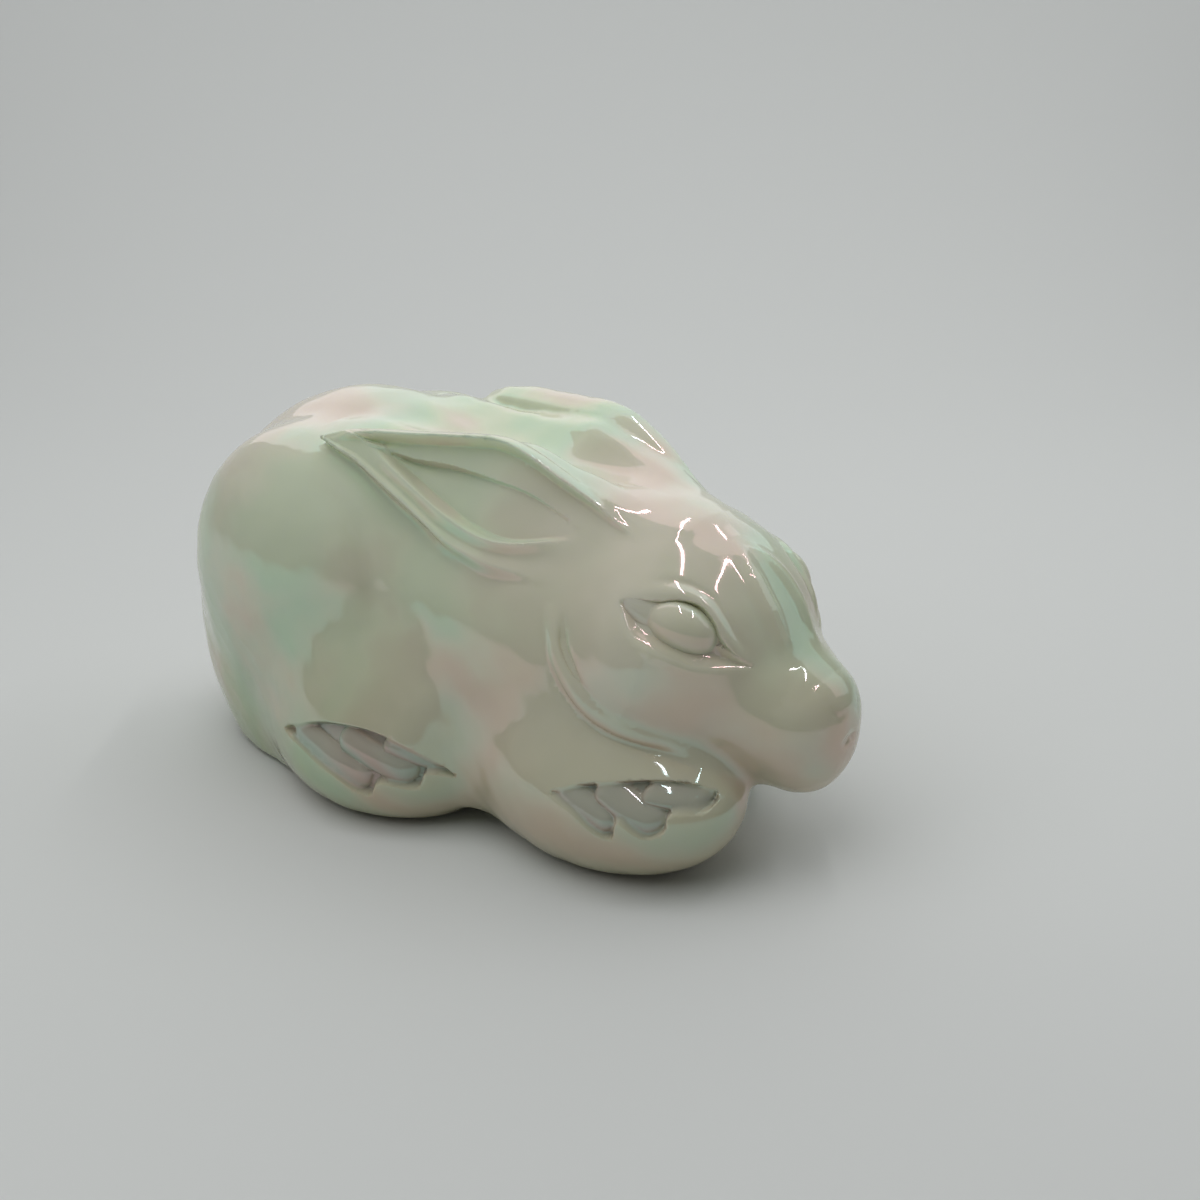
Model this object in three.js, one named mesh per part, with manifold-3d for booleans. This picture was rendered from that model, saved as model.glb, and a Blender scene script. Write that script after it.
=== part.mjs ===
// A pressed-glass rabbit lying flat with its ears laid back.
// Millimetres. +X is the way it faces, +Y its left, +Z up, and it rests on z = 0.
// Each sculpted mass is a solid of its own, let into a pocket of the mass that carries it.
import * as THREE from 'three';
import { LoftGeometry } from 'three/addons/geometries/LoftGeometry.js';
import { mergeVertices } from 'three/addons/utils/BufferGeometryUtils.js';
import Module from 'manifold-3d';

// Whole figure
const noseToTail = 110;
const acrossHindFeet = 58.4;
const backHeight = 53.5;
const seatGap = 0.3;

// Rump, the large egg of the back
const rumpHalfLength = 31.6;
const rumpHalfWidth = 23;
const rumpMiddleHeight = 19;

// Shoulders, measured back from the tip of the nose
const noseToShoulder = 37;
const shoulderHalfLength = 21;
const shoulderHalfWidth = 21;
const shoulderMiddleHeight = 21;
const shoulderTop = 44;

// Neck, a saddle that fills the dip between the rump and the shoulders
const neckAhead = 1;
const neckHalfLength = 24;
const neckHalfWidth = 19.5;
const neckMiddleHeight = 29;
const neckTop = 46.5;

// Chest under the chin
const chestAhead = 3.5;
const chestHalfLength = 17;
const chestHalfWidth = 17;
const chestMiddleHeight = 10;
const chestBelow = 11.5;
const chestTop = 20;

// How softly the masses run into each other
const trunkBlend = 14;
const bodyBlend = 8;
const haunchBlend = 3.5;
const footBlend = 8;
const headBlend = 5;

// Arch across the belly, between the hind and fore feet
const noseToArch = 46;
const archRadius = 4.6;
const archBelow = 2.5;

// Haunches
const haunchAhead = 0.5;
const haunchHalfLength = 21.6;
const haunchHalfWidth = 12.7;
const haunchHalfHeight = 20.6;
const haunchMiddleHeight = 30;
const haunchSpread = 13.4;
const haunchSeat = 9;
const haunchSeam = 0.4;

// Hind feet
const hindFootAhead = 15.1;
const hindFootHalfLength = 16.5;
const hindFootHalfWidth = 12.3;
const hindFootMiddleHeight = 8;
const hindFootBelow = 9.5;
const hindFootAbove = 17;
const hindFootSeat = 8;

// Fore feet: the left one is drawn in, so that only its heel lies level with the right one's
const foreHeelBehind = 8;
const rightForeFootHalfLength = 18;
const leftForeFootHalfLength = 11;
const foreFootHalfWidth = 12.6;
const foreFootMiddleHeight = 10.2;
const foreFootBelow = 11;
const foreFootAbove = 9;
const foreFootSpread = 12.6;
const foreFootSeat = 5;

// Seam of the feet, over the lobes of their eggs
const footSeam = 1.2;

// Toes, lying in hollows of the feet, as wide as their pitch leaves room for between the grooves
const toeSunk = 2.2;
const toeGroove = 0.6;
const hindToeLength = 12;
const hindToePitch = 5;
const hindToeStep = 1.2;
const hindToeDrop = 32;
const hindToeHeight = 10.4;
const hindToeAhead = 5.4;
const foreToeLength = 9;
const foreToePitch = 4.6;
const foreToeStep = 1.3;
const foreToeDrop = 35;
const foreToeHeight = 12.4;
const rightForeToeAhead = 8.7;
const leftForeToeAhead = 2.5;

// Head
const noseToSkull = 30;
const skullHeight = 31.5;
const skullHalfLength = 20;
const skullHalfWidth = 15;
const skullHalfHeight = 13.4;
const skullPitch = 9;
const snoutAhead = 3;
const snoutBelow = 1;
const snoutRadius = 12.9;
const noseRadius = 5.4;
const noseHeight = 21.5;
const cheekAhead = 5;
const cheekSpread = 9;
const cheekHeight = 27.5;
const cheekHalfLength = 13;
const cheekHalfWidth = 10;
const cheekHalfHeight = 11.5;
const muzzleBehindNose = 9.5;
const muzzleSpread = 3.6;
const muzzleHeight = 20.3;
const muzzleHalfLength = 6.5;
const muzzleHalfWidth = 5.6;
const muzzleHalfHeight = 6;
const jawAhead = 9;
const jawHeight = 21.5;
const jawRadius = 7.5;
const chinBehindNose = 8.5;
const chinHeight = 18;
const chinRadius = 4.6;

// Eyes
const eyeBehindNose = 15.4;
const eyeHeight = 34.3;
const eyeHalfLength = 4.5;
const eyeHalfHeight = 3.8;
const eyeHalfDepth = 4.2;
const eyeSunk = 3.9;
const eyeSlant = 26;

// Ears: leaves with a thick rim round a hollow
const earBehindSkull = 3;
const earSpread = 15;
const earAboveSkull = 8.5;
const earLength = 39.2;
const earRootRun = 8;
const earRise = 14.7;
const earSplay = 2.2;
const earLean = 29.4;
const earBend = 12.5;
const earUpperWidth = 10.4;
const earLowerWidth = 7;
const earRootUpper = 6.8;
const earMiddleUpper = 6.5;
const earRootLower = 5.5;
const earTipWidth = 0.6;
const earThickness = 3.2;
const earRimHeight = 1.9;
const earRollHeight = 1.5;
const earHollow = 1.3;
const earRootDive = 7.7;
const earTipLift = 1.2;
const earRollEnd = 0.26;
const earHollowStart = 0.34;
const earHollowEnd = 0.65;
const earFoldAt = 0.7;
const earRimStart = 0.89;

// Tail, low on the back of the rump
const tailReach = 0.9;
const tailHalfLength = 5;
const tailHalfWidth = 8;
const tailHalfHeight = 7;
const tailHeight = 17;

// Fineness of the faceted surfaces
const bodySides = 56;
const bodyRings = 44;
const headSides = 28;
const headRings = 24;
const lobeSides = 28;
const lobeRings = 14;
const archSides = 24;
const eyeSides = 16;
const eyeRings = 8;
const toeSides = 8;
const toeRings = 6;
const earTipStops = 5;
const searchSteps = 40;
const mergeWithin = 1e-4;

const milkGlass = { color: 0xdfe5dc, roughness: 0.06, metalness: 0 };
const forward = new THREE.Vector3(1, 0, 0);
const sideways = new THREE.Vector3(0, 1, 0);
const upward = new THREE.Vector3(0, 0, 1);
const noseTip = noseToTail / 2;
const wasm = await Module();
wasm.setup();

// Solids and cuts

function solidFrom(geometry) {
  const bare = geometry.index ? geometry.toNonIndexed() : geometry.clone();
  bare.deleteAttribute('normal');
  bare.deleteAttribute('uv');
  const merged = mergeVertices(bare, mergeWithin);
  const mesh = new wasm.Mesh({
    numProp: 3,
    vertProperties: new Float32Array(merged.attributes.position.array),
    triVerts: new Uint32Array(merged.index.array),
  });
  mesh.merge();
  return new wasm.Manifold(mesh);
}

function meshFrom(solid, name) {
  const { vertProperties, triVerts } = solid.getMesh();
  const geometry = new THREE.BufferGeometry();
  geometry.setAttribute('position', new THREE.BufferAttribute(vertProperties, 3));
  geometry.setIndex(new THREE.BufferAttribute(triVerts, 1));
  geometry.computeVertexNormals();
  const mesh = new THREE.Mesh(geometry, new THREE.MeshStandardMaterial(milkGlass));
  mesh.name = name;
  return mesh;
}

function boxBetween(low, high) {
  const size = new THREE.Vector3().subVectors(high, low);
  const middle = new THREE.Vector3().addVectors(low, high).multiplyScalar(0.5);
  const geometry = new THREE.BoxGeometry(size.x, size.y, size.z);
  return solidFrom(geometry.translate(middle.x, middle.y, middle.z));
}

function cutAll(solid, cutters) {
  return cutters.reduce((left, cutter) => left.subtract(cutter), solid);
}

// Soft fields: a mass is a function giving the signed distance from a point to its surface

function eggField(centre, halfLength, halfWidth, above, below = above, pitch = 0) {
  const turn = THREE.MathUtils.degToRad(pitch);
  const local = new THREE.Vector3();
  return (point) => {
    local.subVectors(point, centre).applyAxisAngle(sideways, -turn);
    const halfHeight = local.z > 0 ? above : below;
    const x = local.x / halfLength;
    const y = local.y / halfWidth;
    const z = local.z / halfHeight;
    const size = Math.hypot(x, y, z);
    const slope = Math.hypot(x / halfLength, y / halfWidth, z / halfHeight);
    return slope === 0 ? -halfWidth : (size * (size - 1)) / slope;
  };
}

function taperField(start, end, startRadius, endRadius) {
  const run = new THREE.Vector3().subVectors(end, start);
  const local = new THREE.Vector3();
  return (point) => {
    local.subVectors(point, start);
    const along = THREE.MathUtils.clamp(local.dot(run) / run.lengthSq(), 0, 1);
    const radius = THREE.MathUtils.lerp(startRadius, endRadius, along);
    return local.addScaledVector(run, -along).length() - radius;
  };
}

function blend(first, second, reach) {
  return (point) => {
    const a = first(point);
    const b = second(point);
    const overlap = Math.max(reach - Math.abs(a - b), 0) / reach;
    return Math.min(a, b) - (overlap * overlap * reach) / 4;
  };
}

function paired(field) {
  return (point) => field(new THREE.Vector3(point.x, Math.abs(point.y), point.z));
}

function surfaceAlong(field, inside, direction, clearance = 0) {
  let near = 0;
  let far = noseToTail;
  for (let step = 0; step < searchSteps; step += 1) {
    const middle = (near + far) / 2;
    const point = inside.clone().addScaledVector(direction, middle);
    if (field(point) < clearance) near = middle;
    else far = middle;
  }
  return inside.clone().addScaledVector(direction, near);
}

function fieldNormal(field, point) {
  const nudge = 0.05;
  const slope = (axis) => {
    const ahead = field(point.clone().addScaledVector(axis, nudge));
    return ahead - field(point.clone().addScaledVector(axis, -nudge));
  };
  return new THREE.Vector3(slope(forward), slope(sideways), slope(upward)).normalize();
}

// A skin over a field: the points of a ball stretched by reach, each marched out from the middle to the surface
function skin(field, middle, reach, sides, rings, clearance = 0) {
  const geometry = new THREE.SphereGeometry(1, sides, rings).rotateZ(Math.PI / 2);
  const position = geometry.attributes.position;
  const direction = new THREE.Vector3();
  for (let index = 0; index < position.count; index += 1) {
    direction.fromBufferAttribute(position, index).multiply(reach).normalize();
    const point = surfaceAlong(field, middle, direction, clearance);
    position.setXYZ(index, point.x, point.y, point.z);
  }
  return solidFrom(geometry);
}

// An egg with its own heights above and below its middle
function eggSolid(centre, halfLength, halfWidth, above, below, sides, rings) {
  const geometry = new THREE.SphereGeometry(1, sides, rings).rotateX(Math.PI / 2);
  const position = geometry.attributes.position;
  for (let index = 0; index < position.count; index += 1) {
    const z = position.getZ(index);
    const height = z > 0 ? above : below;
    position.setXYZ(index, position.getX(index) * halfLength, position.getY(index) * halfWidth, z * height);
  }
  return solidFrom(geometry.translate(centre.x, centre.y, centre.z));
}

// An ellipsoid along the given long axis, with its flattest side facing outward
function pebbleSolid(centre, longAxis, outward, halfLength, halfWidth, halfDepth, sides, rings) {
  const normal = outward.clone().normalize();
  const along = longAxis.clone().addScaledVector(normal, -longAxis.dot(normal)).normalize();
  const across = new THREE.Vector3().crossVectors(normal, along);
  const place = new THREE.Matrix4().makeBasis(along, across, normal).setPosition(centre);
  const geometry = new THREE.SphereGeometry(1, sides, rings).rotateZ(Math.PI / 2);
  return solidFrom(geometry.scale(halfLength, halfWidth, halfDepth).applyMatrix4(place));
}

// Body

const rumpX = -noseTip + tailReach + rumpHalfLength;
const shoulderX = noseTip - noseToShoulder;
const neckX = (rumpX + rumpHalfLength + shoulderX - shoulderHalfLength) / 2 + neckAhead;
const chestX = shoulderX + chestAhead;
const rumpCentre = new THREE.Vector3(rumpX, 0, rumpMiddleHeight);
const shoulderCentre = new THREE.Vector3(shoulderX, 0, shoulderMiddleHeight);
const neckCentre = new THREE.Vector3(neckX, 0, neckMiddleHeight);
const chestCentre = new THREE.Vector3(chestX, 0, chestMiddleHeight);

const rump = eggField(rumpCentre, rumpHalfLength, rumpHalfWidth, backHeight - rumpMiddleHeight);
const shoulders = eggField(
  shoulderCentre, shoulderHalfLength, shoulderHalfWidth, shoulderTop - shoulderMiddleHeight);
const neck = eggField(neckCentre, neckHalfLength, neckHalfWidth, neckTop - neckMiddleHeight);
const chest = eggField(
  chestCentre, chestHalfLength, chestHalfWidth, chestTop - chestMiddleHeight, chestBelow);
const haunchCentre = new THREE.Vector3(rumpX + haunchAhead, haunchSpread, haunchMiddleHeight);
const haunch = paired(eggField(haunchCentre, haunchHalfLength, haunchHalfWidth, haunchHalfHeight));

const hindFoot = {
  x: rumpX + hindFootAhead,
  spread: acrossHindFeet / 2 - hindFootHalfWidth,
  middleHeight: hindFootMiddleHeight,
  halfLength: hindFootHalfLength,
  halfWidth: hindFootHalfWidth,
  above: hindFootAbove,
  below: hindFootBelow,
  seat: hindFootSeat,
  toeAhead: hindToeAhead,
  toeHeight: hindToeHeight,
  toeLength: hindToeLength,
  toePitch: hindToePitch,
  toeStep: hindToeStep,
  toeDrop: hindToeDrop,
};

function foreFoot(halfLength, toeAhead) {
  return {
    x: shoulderX - foreHeelBehind + halfLength,
    spread: foreFootSpread,
    middleHeight: foreFootMiddleHeight,
    halfLength,
    halfWidth: foreFootHalfWidth,
    above: foreFootAbove,
    below: foreFootBelow,
    seat: foreFootSeat,
    toeAhead,
    toeHeight: foreToeHeight,
    toeLength: foreToeLength,
    toePitch: foreToePitch,
    toeStep: foreToeStep,
    toeDrop: foreToeDrop,
  };
}

const leftForeFoot = foreFoot(leftForeFootHalfLength, leftForeToeAhead);
const rightForeFoot = foreFoot(rightForeFootHalfLength, rightForeToeAhead);

// Pieces that come in pairs take a side, 1 for the left and -1 for the right
function footField(foot, side) {
  const centre = new THREE.Vector3(foot.x, side * foot.spread, foot.middleHeight);
  return eggField(centre, foot.halfLength, foot.halfWidth, foot.above, foot.below);
}

// The body flows softly into the haunches and feet that it carries
const trunk = blend(blend(blend(rump, shoulders, trunkBlend), neck, bodyBlend), chest, bodyBlend);
const seated = blend(trunk, haunch, haunchBlend);
const feet = [[hindFoot, 1], [hindFoot, -1], [leftForeFoot, 1], [rightForeFoot, -1]];
const bodyField = feet.reduce(
  (left, [foot, side]) => blend(left, footField(foot, side), footBlend), seated);

function carvedWhole() {
  const middle = new THREE.Vector3((rumpX + shoulderX) / 2, 0, chestMiddleHeight + chestBelow / 2);
  const reach = new THREE.Vector3(noseTip, acrossHindFeet / 2, backHeight / 2);
  const whole = skin(bodyField, middle, reach, bodySides, bodyRings);
  const far = noseToTail;
  const floorLow = new THREE.Vector3(-far, -far, -far);
  return whole.subtract(boxBetween(floorLow, new THREE.Vector3(far, far, 0))).subtract(archSolid());
}

function archSolid() {
  const geometry = new THREE.CylinderGeometry(archRadius, archRadius, noseToTail, archSides);
  return solidFrom(geometry.translate(noseTip - noseToArch, 0, -archBelow));
}

// Head

const skullCentre = new THREE.Vector3(noseTip - noseToSkull, 0, skullHeight);
const noseCentre = new THREE.Vector3(noseTip - noseRadius, 0, noseHeight);
const cheekCentre = new THREE.Vector3(skullCentre.x + cheekAhead, cheekSpread, cheekHeight);
const muzzleCentre = new THREE.Vector3(noseTip - muzzleBehindNose, muzzleSpread, muzzleHeight);
const jawStart = new THREE.Vector3(skullCentre.x + jawAhead, 0, jawHeight);
const chinCentre = new THREE.Vector3(noseTip - chinBehindNose, 0, chinHeight);

const skull = eggField(
  skullCentre, skullHalfLength, skullHalfWidth, skullHalfHeight, skullHalfHeight, skullPitch);
const snoutStart = new THREE.Vector3(skullCentre.x + snoutAhead, 0, skullHeight - snoutBelow);
const snout = taperField(snoutStart, noseCentre, snoutRadius, noseRadius);
const cheeks = paired(eggField(cheekCentre, cheekHalfLength, cheekHalfWidth, cheekHalfHeight));
const muzzle = paired(eggField(muzzleCentre, muzzleHalfLength, muzzleHalfWidth, muzzleHalfHeight));
const jaw = taperField(jawStart, chinCentre, jawRadius, chinRadius);
const headField = [snout, cheeks, muzzle, jaw].reduce((left, mass) => blend(left, mass, headBlend), skull);

function headSolid(clearance = 0) {
  const middle = new THREE.Vector3().lerpVectors(skullCentre, noseCentre, 0.3);
  const reach = new THREE.Vector3(noseToSkull, cheekSpread + cheekHalfWidth, skullHalfHeight);
  return skin(headField, middle, reach, headSides, headRings, clearance);
}

// Pieces that come in pairs

function beyondSeat(side, seat) {
  const reach = noseToTail;
  const near = side > 0 ? seat : -reach;
  const far = side > 0 ? reach : -seat;
  return boxBetween(new THREE.Vector3(-reach, near, 0), new THREE.Vector3(reach, far, reach));
}

// Haunches and feet share the skin of the body, and part from it along a seam over the lobe
function haunchRoom(side, clearance = 0) {
  const centre = new THREE.Vector3(haunchCentre.x, side * haunchCentre.y, haunchCentre.z);
  const growth = haunchSeam + clearance;
  const height = haunchHalfHeight + growth;
  const lobe = eggSolid(
    centre, haunchHalfLength + growth, haunchHalfWidth + growth, height, height, lobeSides, lobeRings);
  return lobe.intersect(beyondSeat(side, haunchSeat - clearance));
}

function footRoom(foot, side, clearance = 0) {
  const centre = new THREE.Vector3(foot.x, side * foot.spread, foot.middleHeight);
  const growth = footSeam + clearance;
  const lobe = eggSolid(
    centre, foot.halfLength + growth, foot.halfWidth + growth,
    foot.above + growth, foot.below + growth, lobeSides, lobeRings);
  return lobe.intersect(beyondSeat(side, foot.seat - clearance));
}

// Three toes fan out over the outer side of a foot, or with growth the hollows round them
function toeSolids(foot, side, sunk, growth = 0) {
  const outward = new THREE.Vector3(0, side, 0);
  const drop = THREE.MathUtils.degToRad(foot.toeDrop);
  const along = new THREE.Vector3(Math.cos(drop), 0, -Math.sin(drop));
  const halfLength = foot.toeLength / 2 + growth;
  const halfWidth = (foot.toePitch - toeGroove) / 2 + growth;
  const field = footField(foot, side);
  return [-1, 0, 1].map((place) => {
    const inside = new THREE.Vector3(foot.x + foot.toeAhead, side * foot.spread, foot.toeHeight);
    inside.x += place * foot.toePitch;
    inside.z += place * foot.toeStep;
    const onSkin = surfaceAlong(field, inside, outward);
    const normal = fieldNormal(field, onSkin);
    const centre = onSkin.clone().addScaledVector(normal, -sunk);
    return pebbleSolid(centre, along, normal, halfLength, halfWidth, halfWidth, toeSides, toeRings);
  });
}

// The hollows are centred on the skin, so they are open at their widest and run together
function footSolid(foot, side) {
  const hollowed = cutAll(whole.intersect(footRoom(foot, side)), toeSolids(foot, side, 0, toeGroove));
  return toeSolids(foot, side, toeSunk).reduce((left, toe) => left.add(toe), hollowed);
}

function eyeSolid(side, clearance = 0) {
  const inside = new THREE.Vector3(noseTip - eyeBehindNose, 0, eyeHeight);
  const onSkin = surfaceAlong(headField, inside, new THREE.Vector3(0, side, 0));
  const normal = fieldNormal(headField, onSkin);
  const slant = THREE.MathUtils.degToRad(eyeSlant);
  const along = new THREE.Vector3(Math.cos(slant), 0, -Math.sin(slant));
  const centre = onSkin.addScaledVector(normal, -eyeSunk);
  return pebbleSolid(
    centre, along, normal, eyeHalfLength + clearance, eyeHalfHeight + clearance,
    eyeHalfDepth + clearance, eyeSides, eyeRings);
}

// The leaf of an ear: along it from root to tip, across it from lower edge to rim, and out of its face
function earAxes(side) {
  const rise = THREE.MathUtils.degToRad(earRise);
  const splay = THREE.MathUtils.degToRad(earSplay);
  const lean = THREE.MathUtils.degToRad(earLean);
  const along = new THREE.Vector3(
    -Math.cos(rise) * Math.cos(splay), side * Math.cos(rise) * Math.sin(splay), Math.sin(rise));
  const across = new THREE.Vector3(0, -side * Math.sin(lean), Math.cos(lean));
  across.addScaledVector(along, -across.dot(along)).normalize();
  const out = new THREE.Vector3().crossVectors(along, across).multiplyScalar(side);
  const rootOffset = new THREE.Vector3(-earBehindSkull, side * earSpread, earAboveSkull);
  const root = skullCentre.clone().add(rootOffset);
  return { root, along, across, out };
}

function earEdges() {
  const upper = new THREE.SplineCurve([
    new THREE.Vector2(-earRootRun, earRootUpper),
    new THREE.Vector2(earBend / 4, (earRootUpper + earUpperWidth) / 2),
    new THREE.Vector2(earBend, earUpperWidth),
    new THREE.Vector2((earBend + earLength) / 2, earMiddleUpper),
    new THREE.Vector2(earLength, earTipWidth),
  ]);
  const lower = new THREE.SplineCurve([
    new THREE.Vector2(-earRootRun, -earRootLower),
    new THREE.Vector2(earBend / 2, -earLowerWidth),
    new THREE.Vector2((earBend + earLength) / 2, -earLowerWidth / 2),
    new THREE.Vector2(earLength, -earTipWidth),
  ]);
  return { upper, lower };
}

function heightAt(curve, along) {
  let near = 0;
  let far = 1;
  for (let step = 0; step < searchSteps; step += 1) {
    const middle = (near + far) / 2;
    if (curve.getPoint(middle).x < along) near = middle;
    else far = middle;
  }
  return curve.getPoint(near).y;
}

// Points over the face of one cross-section as [share of the width, height out of the face]
function earFace(depth) {
  const level = earRollHeight * (1 - depth);
  const rimEdge = (earRimStart + 1) / 2;
  return [
    [0, 0],
    [earRollEnd / 2, earRollHeight],
    [earRollEnd, earRollHeight],
    [earHollowStart, level - earHollow * depth],
    [earHollowEnd, level - earHollow * depth],
    [earFoldAt, level],
    [earRimStart, level + (earRimHeight * depth) / 4],
    [rimEdge, earRimHeight],
    [1, earRimHeight - earTipWidth],
  ];
}

function earSections(side, sectionAt) {
  const { root, along, across, out } = earAxes(side);
  const { upper, lower } = earEdges();
  const stops = [-earRootRun, -earRootRun / 2, 0, earBend / 2, earBend];
  for (let stop = 1; stop <= earTipStops; stop += 1) {
    stops.push(THREE.MathUtils.lerp(earBend, earLength, stop / earTipStops));
  }
  return stops.map((stop) => {
    const low = heightAt(lower, stop);
    const high = heightAt(upper, stop);
    const toRoot = Math.max(earBend - stop, 0) / (earBend + earRootRun);
    const toTip = Math.max(stop - earBend, 0) / (earLength - earBend);
    const dive = earRootDive * toRoot * toRoot - earTipLift * toTip;
    const ring = sectionAt(stop, low, high).map(([width, height]) => {
      const point = root.clone().addScaledVector(along, stop);
      return point.addScaledVector(across, width).addScaledVector(out, height - dive);
    });
    return side > 0 ? ring.reverse() : ring;
  });
}

function earSolid(side) {
  const sections = earSections(side, (stop, low, high) => {
    const fromRoot = THREE.MathUtils.smoothstep(stop, -earRootRun / 2, earBend / 2);
    const depth = fromRoot * (1 - THREE.MathUtils.smoothstep(stop, earBend, earLength));
    const widthAt = (share) => THREE.MathUtils.lerp(low, high, share);
    const face = earFace(depth).map(([share, height]) => [widthAt(share), height]);
    return [...face, [high, -earThickness], [low, -earThickness]];
  });
  return solidFrom(new LoftGeometry(sections, { capStart: true, capEnd: true }));
}

// The room that an ear needs in the masses that carry it, open to the outside
function earPocket(side) {
  const openTo = earRimHeight + bodyBlend;
  const sections = earSections(side, (stop, low, high) => [
    [low - seatGap, -earThickness - seatGap],
    [low - seatGap, openTo],
    [high + seatGap, openTo],
    [high + seatGap, -earThickness - seatGap],
  ]);
  return solidFrom(new LoftGeometry(sections, { capStart: true, capEnd: true }));
}

function tailSolid(clearance = 0) {
  const centre = new THREE.Vector3(-noseTip + tailHalfLength, 0, tailHeight);
  const height = tailHalfHeight + clearance;
  return eggSolid(
    centre, tailHalfLength + clearance, tailHalfWidth + clearance, height, height, lobeSides, lobeRings);
}

// Assembly: what lies deeper is cut by what lies on it, with the seat gap between

const sides = [['left', 1, leftForeFoot], ['right', -1, rightForeFoot]];
const rabbit = new THREE.Group();
const whole = carvedWhole();
const headRoom = headSolid(seatGap);
const bodyCutters = [headRoom, tailSolid(seatGap)];
const headCutters = [];
for (const [name, side, ownForeFoot] of sides) {
  const pocket = earPocket(side);
  const haunchGap = haunchRoom(side, seatGap);
  const hindGap = footRoom(hindFoot, side, seatGap);
  bodyCutters.push(pocket, haunchGap, hindGap, footRoom(ownForeFoot, side, seatGap));
  headCutters.push(eyeSolid(side, seatGap));
  rabbit.add(meshFrom(earSolid(side).subtract(headRoom), `${name}_ear`));
  rabbit.add(meshFrom(eyeSolid(side), `${name}_eye`));
  rabbit.add(meshFrom(whole.intersect(haunchRoom(side)).subtract(pocket), `${name}_haunch`));
  rabbit.add(meshFrom(footSolid(hindFoot, side).subtract(haunchGap), `${name}_hind_foot`));
  rabbit.add(meshFrom(cutAll(footSolid(ownForeFoot, side), [hindGap, headRoom]), `${name}_fore_foot`));
}
rabbit.add(meshFrom(cutAll(whole, bodyCutters), 'body'));
rabbit.add(meshFrom(cutAll(headSolid(), headCutters), 'head'));
rabbit.add(meshFrom(tailSolid(), 'tail'));

export default rabbit;
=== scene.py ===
import math

import bmesh
import bpy
import numpy as np
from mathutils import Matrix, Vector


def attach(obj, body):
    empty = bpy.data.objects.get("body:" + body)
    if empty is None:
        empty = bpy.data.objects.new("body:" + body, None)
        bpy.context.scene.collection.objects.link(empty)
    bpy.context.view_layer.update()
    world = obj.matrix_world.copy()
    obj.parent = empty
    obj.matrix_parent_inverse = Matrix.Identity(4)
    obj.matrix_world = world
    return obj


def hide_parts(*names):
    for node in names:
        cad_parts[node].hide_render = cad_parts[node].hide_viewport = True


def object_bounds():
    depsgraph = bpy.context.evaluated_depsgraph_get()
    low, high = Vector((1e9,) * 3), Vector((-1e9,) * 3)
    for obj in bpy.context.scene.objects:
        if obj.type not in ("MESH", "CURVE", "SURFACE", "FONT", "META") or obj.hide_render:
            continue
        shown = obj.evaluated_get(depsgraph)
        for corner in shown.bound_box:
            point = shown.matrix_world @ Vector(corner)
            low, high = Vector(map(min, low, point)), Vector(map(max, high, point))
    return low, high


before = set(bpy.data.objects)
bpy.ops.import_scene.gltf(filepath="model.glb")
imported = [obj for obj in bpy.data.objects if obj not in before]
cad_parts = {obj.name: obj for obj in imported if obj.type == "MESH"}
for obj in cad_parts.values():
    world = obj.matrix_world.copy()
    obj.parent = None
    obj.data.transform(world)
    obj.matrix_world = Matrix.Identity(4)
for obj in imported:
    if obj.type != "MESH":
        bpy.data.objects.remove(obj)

import openvdb
from mathutils import Matrix, Vector

# The glass rabbit is sculpted as a field: the distance from a point to the skin, below zero inside.
# Shapes are in millimetres: +X is the way the rabbit faces, +Y its left, and +Z is up.
# They are written for the right side (y < 0) and mirrored, but the left fore foot is drawn in.
cad_box = [list(corner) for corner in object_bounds()]
MM = 0.001
TAIL_X = cad_box[0][0] / MM
SIDE_Y = cad_box[0][1] / MM
NOSE_X = cad_box[1][0] / MM
BACK_Z = cad_box[1][2] / MM


# Shapes and blends

def mirrored(p):
    """Points of the left side, brought to the right one."""
    return np.column_stack([p[:, 0], -np.abs(p[:, 1]), p[:, 2]])


def egg(p, centre, half, above=None):
    """An ellipsoid. Over its middle it can have another half height."""
    x = (p[:, 0] - centre[0]) / half[0]
    y = (p[:, 1] - centre[1]) / half[1]
    z = p[:, 2] - centre[2]
    height = half[2] if above is None else np.where(z > 0, above, half[2])
    z = z / height
    size = np.sqrt(x * x + y * y + z * z)
    slope = np.sqrt((x / half[0]) ** 2 + (y / half[1]) ** 2 + (z / height) ** 2)
    return size * (size - 1) / np.maximum(slope, 1e-6)


def taper(p, start, end, start_radius, end_radius):
    """A rod with round ends that tapers from start to end."""
    start = np.asarray(start, float)
    run = np.asarray(end, float) - start
    share = np.clip((p - start) @ run / (run @ run), 0, 1)
    gap = p - start - share[:, None] * run
    return np.sqrt((gap * gap).sum(axis=1)) - (start_radius + (end_radius - start_radius) * share)


def through(points, steps=6):
    """A smooth path through the points."""
    points = np.asarray(points, float)
    ends = [2 * points[0] - points[1], *points, 2 * points[-1] - points[-2]]
    path = []
    for before, start, end, after in zip(ends, ends[1:], ends[2:], ends[3:]):
        for share in np.arange(steps) / steps:
            bend = 2 * before - 5 * start + 4 * end - after
            twist = 3 * (start - end) + after - before
            path.append(start + 0.5 * share * (end - before + share * (bend + share * twist)))
    path.append(points[-1])
    return np.array(path)


def loop(points, steps=4):
    """A smooth closed outline through the points."""
    around = through([*points[-2:], *points, *points[:2]], steps)
    return around[2 * steps:(2 + len(points)) * steps]


def line(knots, value):
    """Height at value of a smooth line through knots of (place, height)."""
    path = through(knots)
    return np.interp(value, path[:, 0], path[:, 1])


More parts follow.
